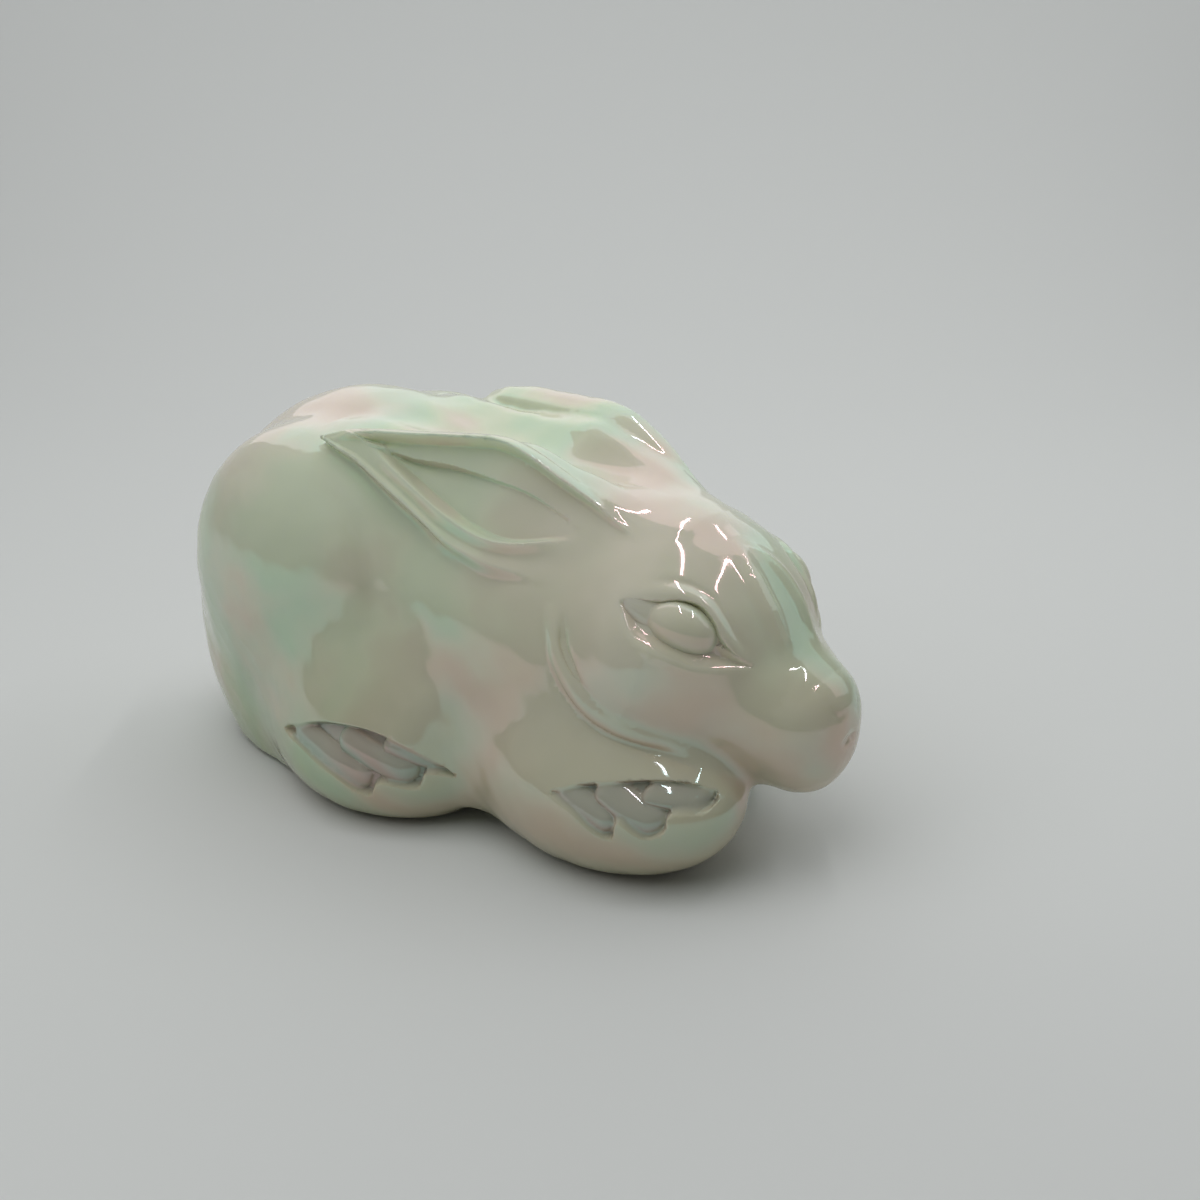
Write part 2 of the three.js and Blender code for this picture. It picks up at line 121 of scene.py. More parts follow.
def nearest(p, path):
    """Distance to a path, and the share of the path at its nearest place."""
    best = np.full(len(p), np.inf)
    share = np.zeros(len(p))
    for index, (start, end) in enumerate(zip(path, path[1:])):
        run = end - start
        along = np.clip((p - start) @ run / (run @ run), 0, 1)
        gap = ((p - start - along[:, None] * run) ** 2).sum(axis=1)
        closer = gap < best
        best[closer] = gap[closer]
        share[closer] = (index + along[closer]) / (len(path) - 1)
    return np.sqrt(best), share


def outline(points, u, v):
    """Signed distance in a plane to a closed outline, below zero inside."""
    gap = np.full(len(u), np.inf)
    inside = np.zeros(len(u), bool)
    for (u0, v0), (u1, v1) in zip(points, np.roll(points, -1, axis=0)):
        du, dv = u1 - u0, v1 - v0
        share = np.clip(((u - u0) * du + (v - v0) * dv) / (du * du + dv * dv), 0, 1)
        gap = np.minimum(gap, np.hypot(u - u0 - share * du, v - v0 - share * dv))
        crosses = (v0 > v) != (v1 > v)
        inside ^= crosses & (u < u0 + (v - v0) * du / (dv if dv else 1e-9))
    return np.where(inside, -gap, gap)


def score(p, field, path, depths, width):
    """Presses a groove into the skin along a path, or raises a ridge where the depth is below zero."""
    gap, share = nearest(p, path)
    across = np.maximum(gap * gap - field * field, 0)
    depth = np.interp(share, np.linspace(0, 1, len(depths)), depths)
    return field + depth * np.exp(-across / width ** 2)


def join(a, b, reach):
    """Both shapes as one, with a fillet where their fields differ by less than reach."""
    overlap = np.maximum(reach - np.abs(a - b), 0) / reach
    return np.minimum(a, b) - overlap * overlap * reach / 4


def cut(a, b, reach):
    """Shape a without shape b, with its edges rounded in the same way."""
    return -join(-a, b, reach)


def ramp(value, start, end):
    """Rises smoothly from 0 at start to 1 at end."""
    share = np.clip((value - start) / (end - start), 0, 1)
    return share * share * (3 - 2 * share)


def between(value, rise, fade):
    """Rises over one stretch and falls back to 0 over another."""
    return ramp(value, *rise) * (1 - ramp(value, *fade))


def axes(first, third):
    """Three axes: along first, and out along third as squarely as can be."""
    along = np.asarray(first, float) / np.linalg.norm(first)
    out = np.asarray(third, float) - along * (along @ np.asarray(third, float))
    out /= np.linalg.norm(out)
    return np.array([along, np.cross(out, along), out])


def in_box(p, low, high):
    return np.all((p > low) & (p < high), axis=1)


# Trunk, haunches and feet. An egg has a centre, half sizes and sometimes a half height over its middle.

RUMP = ((TAIL_X + 32.5, 0, 19), (31.6, 23, BACK_Z - 19.05))
CHEST = ((18, 0, 21), (21, 21, 23))
SHOULDERS = ((4, 0, 29), (24, 19.5, 17.5))
BREAST = ((21.5, 0, 10), (17, 17, 11.5), 10)
HAUNCH = ((-22, -13.4, 30), (21.6, 12.7, 20.4))
HIND_FOOT = ((-7.4, SIDE_Y + 12.4, 8), (16.5, 12.3, 9.5), 17)
TAIL = ((TAIL_X + 5.2, 0, 17), (5, 8, 7))
BELLY_ARCH = ((9, -24, -2.5), (9, 0, -2.5), 4.6, 4.6)

# Rods that fill the hollow between the neck and each ear
NECK_FILL = ((21, -7.6, 41.2), (10, -8, 45), 4.2, 4)
EAR_FILL = ((10, -8, 45), (-14, -8.5, 46.2), 4, 4.2)

# Fore feet: their heels lie level, and the left foot is the shorter one
LEFT, RIGHT = 1, -1
FORE_FEET = [(LEFT, 11), (RIGHT, 18)]
FORE_HEEL_X = 10
FORE_FOOT_SPREAD = 12.6
FORE_FOOT_MIDDLE = 10.2
FORE_FOOT_HALF_WIDTH = 12.5
FORE_FOOT_BELOW, FORE_FOOT_ABOVE = 11, 9

# What is joined to the rump in turn, with the reach of each fillet
TRUNK_MASSES = [(CHEST, 14), (SHOULDERS, 8), (BREAST, 8), (HAUNCH, 3.5), (HIND_FOOT, 8)]
FORE_FOOT_FILLET = 8
FILL_FILLET = 4


def fore_foot(p, side, half_length):
    centre = (FORE_HEEL_X + half_length, side * FORE_FOOT_SPREAD, FORE_FOOT_MIDDLE)
    return egg(p, centre, (half_length, FORE_FOOT_HALF_WIDTH, FORE_FOOT_BELOW), FORE_FOOT_ABOVE)


def trunk(p):
    right = mirrored(p)
    field = egg(right, *RUMP)
    for mass, reach in TRUNK_MASSES:
        field = join(field, egg(right, *mass), reach)
    for side, half_length in FORE_FEET:
        field = join(field, fore_foot(p, side, half_length), FORE_FOOT_FILLET)
    for rod in (NECK_FILL, EAR_FILL):
        field = join(field, taper(right, *rod), FILL_FILLET)
    return field


# Head

SKULL = np.array((25, 0, 31.5))
SKULL_HALF = (20, 15, 13.4)
SKULL_PITCH = math.radians(9)
BRIDGE = ((28, 0, 30.5), (NOSE_X - 5.8, 0, 21.5), 12.9, 5.2)
CHEEK = ((30, -9, 27.5), (13, 10, 11.5))
MUZZLE = ((45.5, -3.6, 20.3), (6.4, 5.4, 5.8))
JOWL = ((31, -7.5, 25), (46, -3.4, 19.8), 11, 5.7)
JAW = ((34, 0, 20), (48, 0, 15.6), 8.5, 5.6)

# What is joined to the skull in turn, with the reach of each fillet
HEAD_MASSES = [(taper, BRIDGE, 5), (egg, CHEEK, 6), (egg, MUZZLE, 4), (taper, JOWL, 4), (taper, JAW, 5)]


def head(p):
    cos, sin = math.cos(SKULL_PITCH), math.sin(SKULL_PITCH)
    x, y, z = (p - SKULL).T
    tipped = np.column_stack([x * cos - z * sin, y, x * sin + z * cos])
    field = egg(tipped, (0, 0, 0), SKULL_HALF)
    for shape, sizes, reach in HEAD_MASSES:
        field = join(field, shape(p, *sizes), reach)
    return field


# Ears: leaves lying back along the neck, described along (a), across (b) and out of their face (c)

EAR_ROOT = np.array((22, -15, 40))
EAR_AXES = np.array([(-0.966, -0.038, 0.254), (0.205, 0.481, 0.853), (0.155, -0.876, 0.457)])
EAR_START, EAR_BEND, EAR_TIP = -11, 14, 39.6
EAR_DIVE, EAR_LIFT = 0.016, 0.05
EAR_FACE = 0.9
EAR_RIM_THICKNESS, EAR_THICKENING = 2.4, 0.3
EAR_HOLLOW_ALONG = ((-2, 5), (24, 35))
EAR_RIM_ALONG = ((-9, -4), (31, 38))
EAR_OUTER_FILLET, EAR_INNER_FILLET = 1.2, 7.2
EAR_UPPER = [
    (-9, 6.6), (-5.8, 7.1), (-2.2, 7.8), (0, 8.4), (3, 9), (6, 9.5), (9.3, 10.1), (12.5, 10.4),
    (15.5, 10.1), (18.3, 9.2), (26.5, 6.1), (32.2, 4), (35, 2.8), (37, 1.6), (40, -0.6)]
EAR_LOWER = [
    (-9, -6), (2.8, -6.7), (8.9, -7.2), (12.3, -6.9), (16, -6.3), (20, -5.1), (24, -4.1),
    (28, -3.2), (32, -2.1), (36, -1.5), (40, -0.8)]
EAR_FOLD = [(-4, 3.4), (0, 3.9), (8, 5.1), (14, 4.7), (20, 4), (26, 2.5), (32, 1.7)]
EAR_RIDGE = [(-1, 2.8), (3.4, 0.4), (8, -2.1), (12, -2.8), (18, -2.2), (26, -0.3), (32, 1.3)]
EAR_CREASE = [(-2, -0.3), (5, -2.7), (11, -4.1), (17, -4), (25, -2), (33, -0.2)]


def ear_places(p):
    return ((p - EAR_ROOT) @ EAR_AXES.T).T


def ear(p):
    a, b, c = ear_places(p)
    c = c + EAR_DIVE * np.maximum(EAR_BEND - a, 0) ** 2 - EAR_LIFT * np.maximum(a - EAR_BEND, 0)
    upper = line(EAR_UPPER, a)
    lower = line(EAR_LOWER, a)
    fold = line(EAR_FOLD, a)
    ridge = line(EAR_RIDGE, a)
    crease = line(EAR_CREASE, a)
    hollow = between(a, *EAR_HOLLOW_ALONG)
    rim = between(a, *EAR_RIM_ALONG)
    # The face as heights from the lower edge to the upper one
    steps = [
        (lower, -0.4),
        (lower * 0.45 + crease * 0.55, 1.5),
        (crease, EAR_FACE),
        (ridge, EAR_FACE + hollow * 0.8),
        (ridge + 1.3, EAR_FACE - hollow * 1.9),
        (fold - 0.5, EAR_FACE - hollow * 2.5),
        (fold, EAR_FACE - hollow * 0.8),
        (upper - 2.1, EAR_FACE - rim * 0.8),
        (upper - 1, EAR_FACE + rim * 1.5),
        (upper, EAR_FACE + 0.5),
    ]
    face = np.full(len(p), steps[0][1])
    for (start, low), (end, high) in zip(steps, steps[1:]):
        face = face + (high - low) * ramp(b, start, np.maximum(end, start + 0.3))
    thick = EAR_RIM_THICKNESS + EAR_THICKENING * np.maximum(upper - b, 0)
    leaf = cut(c - face, c + thick, 0.8)
    edge = np.maximum(np.maximum(b - upper, lower - b), np.maximum(a - EAR_TIP, EAR_START - a))
    return cut(leaf, -edge, 1.4)


def ear_fillet(p):
    """Reach of the blend between ear and neck: a crisp edge outside and a wide fillet inside."""
    out = ear_places(p)[2]
    return EAR_OUTER_FILLET + (EAR_INNER_FILLET - EAR_OUTER_FILLET) * (1 - ramp(out, -6, 0))


# Eyes: a ball in an almond hollow with two lids, in the plane of the eye (u along it, v up, w out)

EYE = np.array((39.5, -14.2, 33.8))
EYE_AXES = axes((14.1, 8.4, -8.9), (0.5, -0.8, 0.3))
EYE_BALL = ((-0.3, -0.3, -2.6), (4.6, 3.1, 3.1))
EYE_BED = ((0, -0.4, -3.2), (8.4, 3, 1.8))
EYE_BALL_FILLET = 0.25
EYE_HOLLOW_DEPTH = 1.2
EYE_UPPER_SLOPE, EYE_LOWER_SLOPE, EYE_RIM = 0.5, 1.6, 0.15
ALMOND = loop([
    (-8.6, -0.9), (-6.6, 0.3), (-4.4, 1.3), (-2.4, 2.6), (0.1, 3.2), (2.5, 2.3), (4.3, 0.9),
    (6.6, 0), (9.6, -0.3), (5.9, -2.2), (2.4, -3.5), (-1.5, -3.9), (-5.2, -3.9), (-7.2, -2.6)])
UPPER_LID = through([
    (-8.6, -0.5), (-7, 1.3), (-4.7, 2.5), (-2.1, 3.6), (0.5, 3.7), (2.9, 2.6), (5.1, 1.2),
    (7.5, 0.2), (9.4, -0.2)])
UPPER_FOLD = through([
    (-7.4, 2.3), (-4.9, 3.8), (-1.9, 4.8), (1.1, 4.6), (3.6, 3.3), (6, 1.9), (8.4, 0.8)])
LOWER_LID = through([
    (-8.3, -1.4), (-6.9, -3.4), (-5.2, -4.5), (-1.5, -4.6), (2.4, -4.2), (5.9, -2.8), (10, -0.3)])

# Each path with its height over the skin and its width
LIDS = [(UPPER_LID, 0.35, 0.8), (UPPER_FOLD, -0.3, 0.5), (LOWER_LID, 0.2, 0.7)]


def eye_places(p):
    return (mirrored(p) - EYE) @ EYE_AXES.T


def eye(p):
    local = eye_places(p)
    return join(egg(local, *EYE_BALL), egg(local, *EYE_BED), EYE_BALL_FILLET)


def eye_hollow(p, field):
    flat = eye_places(p)[:, :2]
    rim = outline(ALMOND, flat[:, 0], flat[:, 1])
    soft = np.where(flat[:, 1] > 0, EYE_UPPER_SLOPE, EYE_LOWER_SLOPE)
    field = field + EYE_HOLLOW_DEPTH * (1 - ramp(rim, -soft, EYE_RIM))
    for path, raised, width in LIDS:
        gap, share = nearest(flat, path)
        field = field - raised * np.sin(np.pi * share) * np.exp(-(gap / width) ** 2)
    return field


# Haunch: a soft valley along its front edge

HAUNCH_EDGE = through([
    (-16.2, -21.4, 45.4), (-12.1, -20.9, 44.1), (-8.6, -21.1, 40.9), (-6.4, -21.5, 37.3),
    (-4.8, -22, 30.9), (-5, -22.2, 25.3)])


def haunch_edge(p, field):
    return score(p, field, HAUNCH_EDGE, [0, 0.5, 0.6, 0.5, 0], 1.8)


# Cheek roll: a soft lip behind the face, with a crisp crease in front of it and a faint one behind

CHEEK_CREASE = through([
    (22.9, -17.4, 35.1), (24, -18.5, 32.4), (24.9, -19.2, 29.6), (27.3, -19.3, 26.2),
    (30.6, -18.7, 23.5), (34.2, -17.4, 22), (37.6, -14.9, 20.4), (40, -12.5, 18.3), (43.1, -9.6, 15.2)])
CHEEK_ROLL = through([
    (21.5, -17.9, 34.9), (23, -18.9, 31.3), (24.5, -19.5, 27.6), (27.2, -19.5, 24.2),
    (30.8, -18.9, 21.7), (34.7, -17.6, 20.3), (38.1, -15.4, 19), (40.9, -13, 17.1), (43.5, -11.2, 14.8)])
CHEEK_REAR = through([
    (20.1, -17.9, 34.7), (21.9, -19.3, 30.3), (24, -19.8, 25.6), (27, -19.6, 22.3),
    (30.9, -19.1, 20), (35.1, -17.7, 18.7), (38.6, -15.9, 17.7), (41.7, -14.3, 16.1)])


def cheek_roll(p, field):
    field = score(p, field, CHEEK_ROLL, [0, -0.7, -0.7, -0.6, -0.4, 0], 1.1)
    field = score(p, field, CHEEK_REAR, [0, 0.25, 0.3, 0.3, 0], 0.8)
    return score(p, field, CHEEK_CREASE, [0, 0.4, 0.25, 0.3, 0.2, 0], 0.6)


# Snout: a flat bridge between two soft ridges, nostrils and the mouth

SNOUT_RIDGE = through([
    (37.9, -0.8, 42), (42.3, -2.8, 37.5), (44.7, -3.3, 34), (46.6, -3.4, 30.8), (48.6, -3.7, 28)])
NOSTRIL = through([(53.1, -3.7, 23.8), (53.9, -3.1, 22.7), (54.5, -2.2, 22), (54.8, -1.2, 22.3)])
MOUTH = through([(54.9, 0, 18.9), (54, -2.2, 18.3), (53.4, -3.7, 18.2)])


def snout(p, field):
    field = score(p, field, SNOUT_RIDGE, [0, -0.7, -0.8, -0.5, 0], 1.4)
    field = score(p, field, NOSTRIL, [0, 0.15, 0.2, 0.1], 0.5)
    return score(p, field, MOUTH, [0.4, 0.1, 0], 0.7)


# Paws: shallow panels pressed into the outer sides of the feet, with the toes lying in them

# A panel is an outline of (x, z) points, and a toe runs from one such point to another with a half width
HIND_PANEL = loop([
    (-17.4, 11.2), (-12.1, 13.6), (-8.1, 14.8), (-2.9, 15.1), (1.6, 14.1), (6.1, 11.7), (9, 9.3),
    (5.8, 9.6), (4.6, 7.4), (0.4, 8), (-1.4, 5.8), (-6.6, 8), (-12.8, 10)])
HIND_TOES = [
    ((-13.5, 11.7), (-3.4, 8.6), 2.3),
    ((-4.5, 12.8), (2.6, 9.7), 1.9),
    ((1.5, 13), (6.4, 10.9), 1.4),
]
FORE_PANEL = loop([
    (26.8, 13.2), (30.2, 14.6), (35.8, 15.6), (39.2, 15.7), (42.1, 15), (44.2, 13.7), (44.2, 12.2),
    (41.3, 12.3), (40.9, 10.2), (39.1, 9.3), (37.4, 10.2), (35.8, 11.2), (35.1, 8.7), (32.9, 9.2),
    (30.1, 11.2), (27.4, 12.3)])
FORE_TOES = [
    ((28.5, 13.3), (33.6, 10.8), 1.7),
    ((33.5, 14), (38.9, 11.2), 1.7),
    ((38.5, 14.2), (42.8, 13.4), 1.3),
]
PANEL_DEPTH = 1.4
PANEL_WALL = (-0.8, 0.2)
TOE_CROWN = 0.75
TOE_SUNK = 0.2
LEFT_FORE_PAW_DRAWN_IN = 13.2

# Panel and toes, how far the left paw is drawn in, and the corners of the box round the right paw
PAWS = [
    (HIND_PANEL, HIND_TOES, 0, (-20, -32, 4), (11, -18, 17)),
    (FORE_PANEL, FORE_TOES, LEFT_FORE_PAW_DRAWN_IN, (25, -28, 7), (47, -14, 17.5)),
]


def in_panel(p, panel):
    """How far points lie inside a panel, from 0 outside to 1."""
    return 1 - ramp(outline(panel, p[:, 0], p[:, 2]), *PANEL_WALL)


def press_paw(p, field, panel, toes):
    """Presses a panel into the skin, with round toes that rise from its floor."""
    flat = np.column_stack([p[:, 0], np.zeros(len(p)), p[:, 2]])
    rise = np.zeros(len(p))
    for (x0, z0), (x1, z1), half_width in toes:
        gap = taper(flat, (x0, 0, z0), (x1, 0, z1), 0, 0) / half_width
        crown = min(TOE_CROWN * half_width, PANEL_DEPTH - TOE_SUNK)
        rise = np.maximum(rise, crown * np.sqrt(np.clip(1 - gap * gap, 0, 1)))
    return field + (PANEL_DEPTH - rise) * in_panel(p, panel)


def paws(place):
    """Each panel with its toes, the points near it, and those points as if on the right foot."""
    for panel, toes, left_drawn_in, low, high in PAWS:
        paw = mirrored(place) + np.outer(place[:, 1] > 0, (left_drawn_in, 0, 0))
        near = in_box(paw, low, high)
        yield panel, toes, near, paw[near]


# The whole casting, where each detail has the corners of the box round it

EAR_BOX = ((-20, -24, 27), (35, 0.1, 56))
DETAILS = [
    (haunch_edge, (-22, -28, 20), (3, -14, 50)),
    (eye_hollow, (27, -22, 24), (50, -4, 42)),
    (cheek_roll, (15, -23, 10), (48, -7, 38)),
    (snout, (34, -12, 14), (58, 0.1, 45)),
]
HEAD_FILLET, TAIL_FILLET, ARCH_FILLET, BASE_FILLET = 2.8, 2, 2, 1.6
BROAD_RIPPLE, CLOSE_RIPPLE = 0.05, 0.02


def ripple(p):
    """The slight unevenness of pressed glass, which only goes inwards."""
    x, y, z = p.T
    broad = np.sin(0.55 * x + 0.3 * z) * np.sin(0.5 * z - 0.35 * x + 0.4 * y)
    close = np.sin(1.1 * x - 0.5 * y + 1) * np.sin(1.2 * z + 0.4 * x + 2)
    return BROAD_RIPPLE * (1 + broad) + CLOSE_RIPPLE * (1 + close)


def casting(place):
    p = mirrored(place)
    field = trunk(place)
    near = in_box(p, *EAR_BOX)
    field[near] = join(field[near], ear(p[near]), ear_fillet(p[near]))
    for panel, toes, near, paw in paws(place):
        field[near] = press_paw(paw, field[near], panel, toes)
    field = join(field, head(p), HEAD_FILLET)
    for shape, low, high in DETAILS:
        near = in_box(p, low, high)
        field[near] = shape(p[near], field[near])
    field = join(field, egg(p, *TAIL), TAIL_FILLET)
    field = cut(field, taper(p, *BELLY_ARCH), ARCH_FILLET)
    below_base = p[:, 2]
    return cut(field + ripple(place), below_base, BASE_FILLET)


# Meshes

CELL = 0.7
EYE_CELL = 0.25
REFINE_ROUNDS = 2
SHARP_BEND = math.radians(13)
MARGIN = 2.4
EYE_MARGIN = 9
FAR = 10.0
NUDGE = 0.01


def slope(field, p, height):
    return np.column_stack([(field(p + step) - height) / NUDGE for step in np.eye(3) * NUDGE])


def settle(field, p, reach, rounds=2):
    """Moves points onto the skin of a field."""
    for _ in range(rounds):
        height = field(p)
        lean = slope(field, p, height)
        steep = np.maximum((lean * lean).sum(axis=1), 1e-3)
        step = -height[:, None] * lean / steep[:, None]
        size = np.sqrt((step * step).sum(axis=1))[:, None]
        p = p + step * np.minimum(1, reach / np.maximum(size, 1e-9))
    return p


def skin_of(field, low, high, cell):
    """Points and four-sided faces over the skin of a field."""
    counts = [int(round((end - start) / cell)) + 1 for start, end in zip(low, high)]
    ticks = [end - cell * np.arange(count)[::-1] for end, count in zip(high, counts)]
    grid = np.stack(np.meshgrid(*ticks, indexing="ij"), axis=-1).reshape(-1, 3)
    volume = openvdb.FloatGrid(FAR)
    volume.copyFromArray(field(grid).reshape(counts))
    points, quads = volume.convertToQuads(0.0)
    start = np.array([tick[0] for tick in ticks])
    return settle(field, points * cell + start, cell * 0.7), quads


def skin_normals(field, points):
    normals = slope(field, points, field(points))
    return normals / np.linalg.norm(normals, axis=1)[:, None]


def refine(mesh, field):
    """Halves the faces of a mesh where its skin bends sharply from one point to the next."""
    work = bmesh.new()
    work.from_mesh(mesh)
    normals = skin_normals(field, np.array([vertex.co[:] for vertex in work.verts]))
    ends = np.array([[vertex.index for vertex in edge.verts] for edge in work.edges])
    straight = (normals[ends[:, 0]] * normals[ends[:, 1]]).sum(axis=1)
    chosen = np.zeros(len(normals), bool)
    chosen[ends[straight < math.cos(SHARP_BEND)]] = True
    edges = [edge for edge, pair in zip(work.edges, ends) if chosen[pair].all()]
    bmesh.ops.subdivide_edges(work, edges=edges, cuts=1, use_grid_fill=True)
    work.to_mesh(mesh)
    work.free()


def refined_points(mesh, field, rounds):
    """Refines a mesh and gives its points, settled onto the skin."""
    for _ in range(rounds):
        refine(mesh, field)
    points = np.empty(len(mesh.vertices) * 3)
    mesh.vertices.foreach_get("co", points)
    return settle(field, points.reshape(-1, 3), CELL / 3)


def pressed_share(points):
    """How far each point lies inside a pressed panel, from 0 to 1, which masks the painted shade there."""
    pressed = np.zeros(len(points))
    for panel, _, near, paw in paws(points):
        pressed[near] = in_panel(paw, panel)
    return pressed


def glass_piece(name, field, points, faces, refine_rounds=0):
    mesh = bpy.data.meshes.new(name)
    mesh.from_pydata(points.tolist(), [], faces.tolist())
    if refine_rounds:
        points = refined_points(mesh, field, refine_rounds)
    normals = skin_normals(field, points)
    # The pressed share masks the painted shade in the paw panels
    mesh.attributes.new("pressed", "FLOAT", "POINT").data.foreach_set("value", pressed_share(points))
    mesh.vertices.foreach_set("co", (points * MM).ravel())
    mesh.polygons.foreach_set("use_smooth", np.ones(len(mesh.polygons), bool))
    mesh.update()
    mesh.normals_split_custom_set_from_vertices(normals.tolist())
    piece = bpy.data.objects.new(name, mesh)
    bpy.context.scene.collection.objects.link(piece)
    piece.data.materials.append(glass)
    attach(piece, "root")
    return piece


def glass_pair(name, field, low, high):
    """A piece on the right side and its mirror image on the left."""
    points, faces = skin_of(field, low, high, EYE_CELL)
    right = glass_piece(f"right_{name}", field, points, faces)
    left = glass_piece(f"left_{name}", field, points * (1, -1, 1), faces[:, ::-1])
    return right, left


# Glass: a drifting tint with painted shade, darker towards the base and in the pressed panels, under a
# thin film that drifts too

GREEN_TINT = (0.71, 0.76, 0.58, 1)
PINK_TINT = (0.77, 0.735, 0.61, 1)
# Painted shade: the glass colour is darkened towards the base and left as it is higher up
PAINTED_BASE_SHADE = (0.66, 0.66, 0.55, 1)
UNSHADED_BACK = (1, 1, 1, 1)
# Painted shade: the pressed paw panels are coloured darker, as if in shadow
PAINTED_PANEL_SHADE = (0.43, 0.42, 0.34, 1)
PAINTED_SHADE_START, PAINTED_SHADE_END = 4 * MM, 44 * MM
FILM_NANOMETRES = (600, 800)
DRIFT_SCALE, DRIFT_DETAIL = 28, 4
TINT_DRIFT = (0.4, 0.6)
FILM_DRIFT = (0.3, 0.7)

# The colour sockets of a mix node, which share their names with its number sockets
MIX_FIRST, MIX_SECOND, MIX_RESULT = 6, 7, 2


def colours_along(tree, value, places, colours_there):
    """Colours that run from one to another as a value goes from place to place."""
    colours = tree.nodes.new("ShaderNodeValToRGB")
    for stop, place, colour in zip(colours.color_ramp.elements, places, colours_there):
        stop.position = place
        stop.color = colour
    tree.links.new(value, colours.inputs["Fac"])
    return colours.outputs["Color"]


def stretched(tree, value, start, end, low=0, high=1):
    """A value that goes from low to high as another goes from start to end."""
    stretch = tree.nodes.new("ShaderNodeMapRange")
    stretch.inputs["From Min"].default_value = start
    stretch.inputs["From Max"].default_value = end
    stretch.inputs["To Min"].default_value = low
    stretch.inputs["To Max"].default_value = high
    tree.links.new(value, stretch.inputs["Value"])
    return stretch.outputs["Result"]


def colour_mix(tree, blend):
    mix = tree.nodes.new("ShaderNodeMix")
    mix.data_type = "RGBA"
    mix.blend_type = blend
    return mix


def lustre_glass():
    material = bpy.data.materials.new("lustre_glass")
    material.use_nodes = True
    tree = material.node_tree
    shader = tree.nodes["Principled BSDF"]
    place = tree.nodes.new("ShaderNodeTexCoord").outputs["Object"]
    noise = tree.nodes.new("ShaderNodeTexNoise")
    noise.inputs["Scale"].default_value = DRIFT_SCALE
    noise.inputs["Detail"].default_value = DRIFT_DETAIL
    tree.links.new(place, noise.inputs["Vector"])
    drift = noise.outputs["Fac"]
    tint = colours_along(tree, drift, TINT_DRIFT, (GREEN_TINT, PINK_TINT))

    # Painted shade: the tint is multiplied by a darkening that grows towards the base
    split = tree.nodes.new("ShaderNodeSeparateXYZ")
    tree.links.new(place, split.inputs["Vector"])
    height = stretched(tree, split.outputs["Z"], PAINTED_SHADE_START, PAINTED_SHADE_END)
    shade = colours_along(tree, height, (0, 1), (PAINTED_BASE_SHADE, UNSHADED_BACK))
    shaded = colour_mix(tree, "MULTIPLY")
    shaded.inputs["Factor"].default_value = 1
    tree.links.new(tint, shaded.inputs[MIX_FIRST])
    tree.links.new(shade, shaded.inputs[MIX_SECOND])

    # Painted shade: the pressed share darkens the colour inside the paw panels
    pressed = tree.nodes.new("ShaderNodeAttribute")
    pressed.attribute_name = "pressed"
    panel_shade_mix = colour_mix(tree, "MIX")
    panel_shade_mix.inputs[MIX_SECOND].default_value = PAINTED_PANEL_SHADE
    tree.links.new(pressed.outputs["Fac"], panel_shade_mix.inputs["Factor"])
    tree.links.new(shaded.outputs[MIX_RESULT], panel_shade_mix.inputs[MIX_FIRST])
    tree.links.new(panel_shade_mix.outputs[MIX_RESULT], shader.inputs["Base Color"])

    film = stretched(tree, drift, *FILM_DRIFT, *FILM_NANOMETRES)
    tree.links.new(film, shader.inputs["Thin Film Thickness"])
    shader.inputs["Thin Film IOR"].default_value = 2.0
    shader.inputs["Roughness"].default_value = 0.06
    shader.inputs["Subsurface Weight"].default_value = 0.3
    shader.inputs["Subsurface Radius"].default_value = (1, 1, 0.7)
    shader.inputs["Subsurface Scale"].default_value = 4 * MM
    return material


glass = lustre_glass()

# The pieces: the casting is one skin over all the masses but the eyes
low_corner = (TAIL_X - MARGIN, SIDE_Y - MARGIN, -MARGIN)
high_corner = (NOSE_X + MARGIN, MARGIN - SIDE_Y, BACK_Z + MARGIN)
casting_skin = skin_of(casting, low_corner, high_corner, CELL)
rabbit = glass_piece("rabbit_casting", casting, *casting_skin, REFINE_ROUNDS)
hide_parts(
    "body", "head", "tail", "left_ear", "right_ear", "left_haunch", "right_haunch",
    "left_hind_foot", "right_hind_foot", "left_fore_foot", "right_fore_foot")
right_eye, left_eye = glass_pair("eyeball", eye, EYE - EYE_MARGIN, EYE + EYE_MARGIN)
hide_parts("right_eye")
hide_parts("left_eye")


# Studio, in metres. It lies along the view: its depth runs away from the camera, its width to the right.

VIEW_AZIMUTH, VIEW_ELEVATION = 35.65, 19.03
BACKDROP_COLOUR = (0.68, 0.70, 0.69, 1)
BACKDROP_ROUGHNESS = 0.7
BACKDROP_HALF_WIDTH, BACKDROP_HEIGHT = 2, 1
FLOOR_FRONT, FLOOR_LEVEL, FLOOR_BACK = -2, -0.3, 0.2
SWEEP_RADIUS, SWEEP_STEPS = 0.25, 12
WORLD_STRENGTH = 0.12

# Lamps: radiance, size across and along, place, and the place that they shine towards
LAMPS = {
    "back_panel": (0.66, (0.6, 0.45), (0, 0.26, 0.29), (0, 0, 0.03)),
    "strip_lamp_near": (15, (0.008, 0.28), (0.10, 0.05, 0.33), (0.10, 0.05, 0)),
    "strip_lamp_far": (15, (0.008, 0.28), (0.25, 0.05, 0.33), (0.25, 0.05, 0)),
    "side_panel": (0.45, (0.3, 0.3), (0.38, 0.14, 0.26), (0, 0, 0.03)),
    "soft_lamp": (1.45, (0.5, 0.5), (-0.16, -0.14, 0.41), (0, 0, 0)),
}


def studio(width, depth, height):
    turn = math.radians(VIEW_AZIMUTH)
    x = width * math.cos(turn) - depth * math.sin(turn)
    y = width * math.sin(turn) + depth * math.cos(turn)
    return (x, y, height)


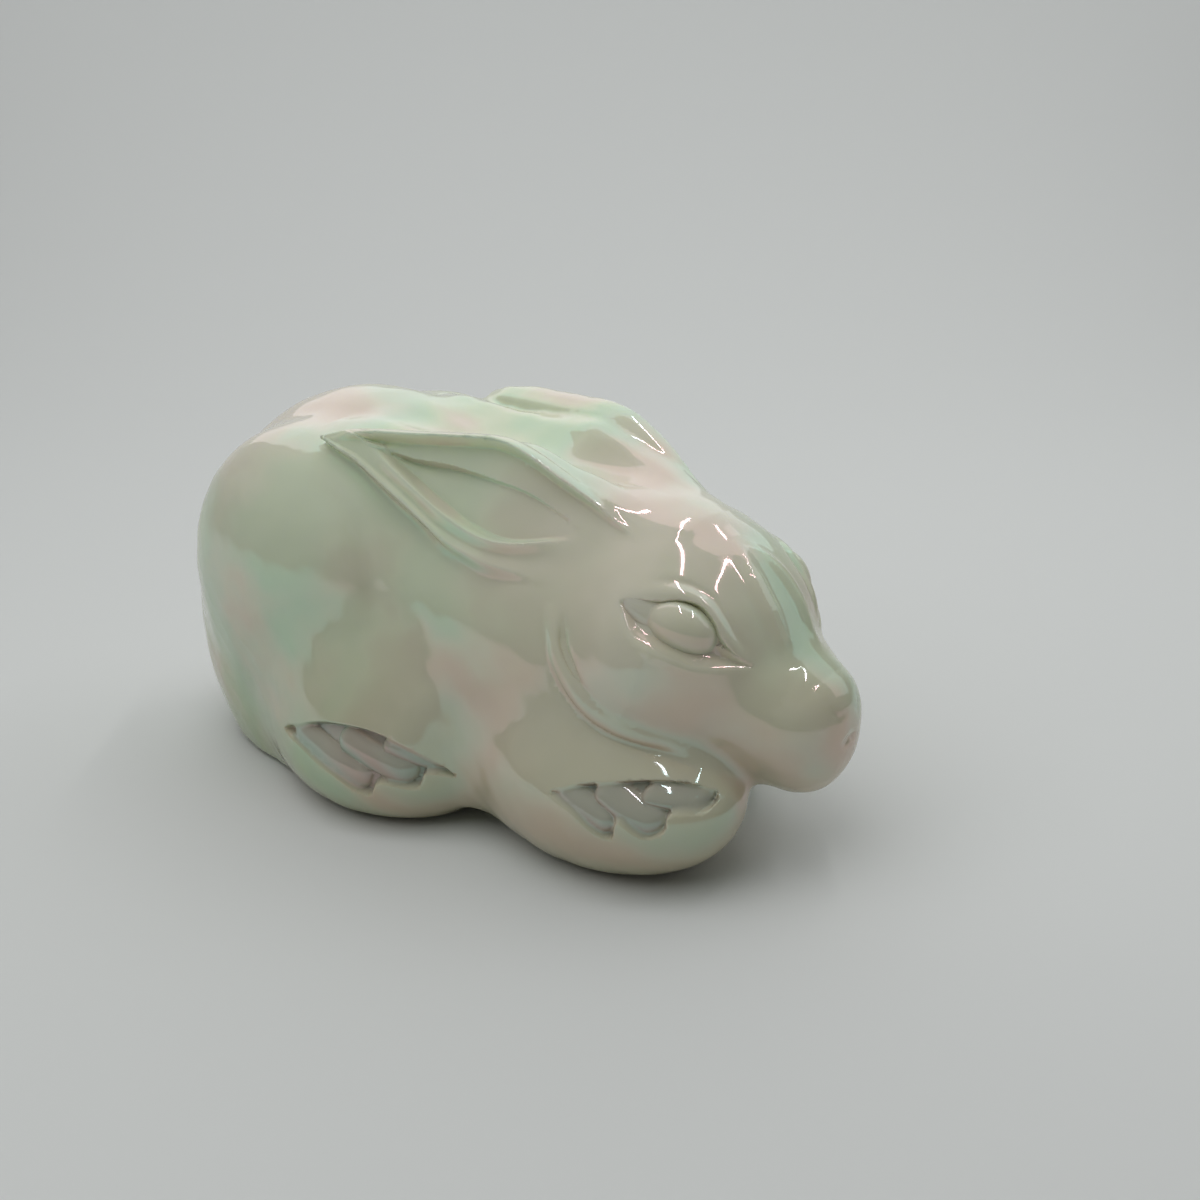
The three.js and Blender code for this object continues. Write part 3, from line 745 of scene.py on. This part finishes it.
def sweep_profile():
    """Floor that curves up into a backdrop, as (depth, height) pairs, shaded level up to FLOOR_LEVEL."""
    profile = [(FLOOR_FRONT, 0), (FLOOR_LEVEL, 0), (FLOOR_BACK, 0)]
    for step in range(1, SWEEP_STEPS + 1):
        angle = math.radians(90 * step / SWEEP_STEPS)
        rise = SWEEP_RADIUS * (1 - math.cos(angle))
        profile.append((FLOOR_BACK + SWEEP_RADIUS * math.sin(angle), rise))
    return [*profile, (FLOOR_BACK + SWEEP_RADIUS, BACKDROP_HEIGHT)]


def make_backdrop():
    profile = sweep_profile()
    edges = (-BACKDROP_HALF_WIDTH, BACKDROP_HALF_WIDTH)
    points = [studio(width, depth, height) for depth, height in profile for width in edges]
    faces = [(2 * i, 2 * i + 1, 2 * i + 3, 2 * i + 2) for i in range(len(profile) - 1)]
    mesh = bpy.data.meshes.new("backdrop")
    mesh.from_pydata(points, [], faces)
    mesh.polygons.foreach_set("use_smooth", [True] * len(faces))
    mesh.update()
    material = bpy.data.materials.new("backdrop")
    material.use_nodes = True
    shader = material.node_tree.nodes["Principled BSDF"]
    shader.inputs["Base Color"].default_value = BACKDROP_COLOUR
    shader.inputs["Roughness"].default_value = BACKDROP_ROUGHNESS
    mesh.materials.append(material)
    backdrop = bpy.data.objects.new("backdrop", mesh)
    bpy.context.scene.collection.objects.link(backdrop)


def area_lamp(name, radiance, size, place, towards):
    """A plain rectangle of light that the camera doesn't see."""
    lamp = bpy.data.lights.new(name, "AREA")
    lamp.shape = "RECTANGLE"
    lamp.size, lamp.size_y = size
    lamp.energy = radiance * math.pi * size[0] * size[1]
    thing = bpy.data.objects.new(name, lamp)
    thing.location = studio(*place)
    back = (Vector(studio(*place)) - Vector(studio(*towards))).normalized()
    along = back.cross(Vector(studio(1, 0, 0))).normalized()
    thing.rotation_euler = Matrix((along.cross(back), along, back)).transposed().to_euler()
    thing.visible_camera = False
    bpy.context.scene.collection.objects.link(thing)
    return thing


def make_world():
    world = bpy.data.worlds.new("studio")
    world.use_nodes = True
    sky = world.node_tree.nodes["Background"]
    sky.inputs["Color"].default_value = (1, 1, 1, 1)
    sky.inputs["Strength"].default_value = WORLD_STRENGTH
    bpy.context.scene.world = world


make_backdrop()
lamps = {name: area_lamp(name, *settings) for name, settings in LAMPS.items()}
make_world()

# The soft lamp lights the glass without showing in it
lamps["soft_lamp"].visible_glossy = False


# Camera: it looks a little past the rabbit, which lies left of the middle of the picture

CAMERA_AZIMUTH, CAMERA_ELEVATION, CAMERA_DISTANCE = 39.14, 19.15, 0.23208
RABBIT_MIDDLE = Vector((0, 0, 0.025))
FIELD_OF_VIEW = 40
SENSOR_WIDTH = 36


def back_along(azimuth, elevation):
    azimuth, elevation = math.radians(azimuth), math.radians(elevation)
    flat = math.cos(elevation)
    return Vector((math.sin(azimuth) * flat, -math.cos(azimuth) * flat, math.sin(elevation)))


lens = bpy.data.cameras.new("camera")
lens.sensor_width = SENSOR_WIDTH
lens.lens = SENSOR_WIDTH / 2 / math.tan(math.radians(FIELD_OF_VIEW / 2))
camera = bpy.data.objects.new("camera", lens)
camera.location = RABBIT_MIDDLE + CAMERA_DISTANCE * back_along(CAMERA_AZIMUTH, CAMERA_ELEVATION)
camera.rotation_euler = back_along(VIEW_AZIMUTH, VIEW_ELEVATION).to_track_quat("Z", "Y").to_euler()
bpy.context.scene.collection.objects.link(camera)
bpy.context.scene.camera = camera
bpy.context.scene.view_settings.view_transform = "Standard"
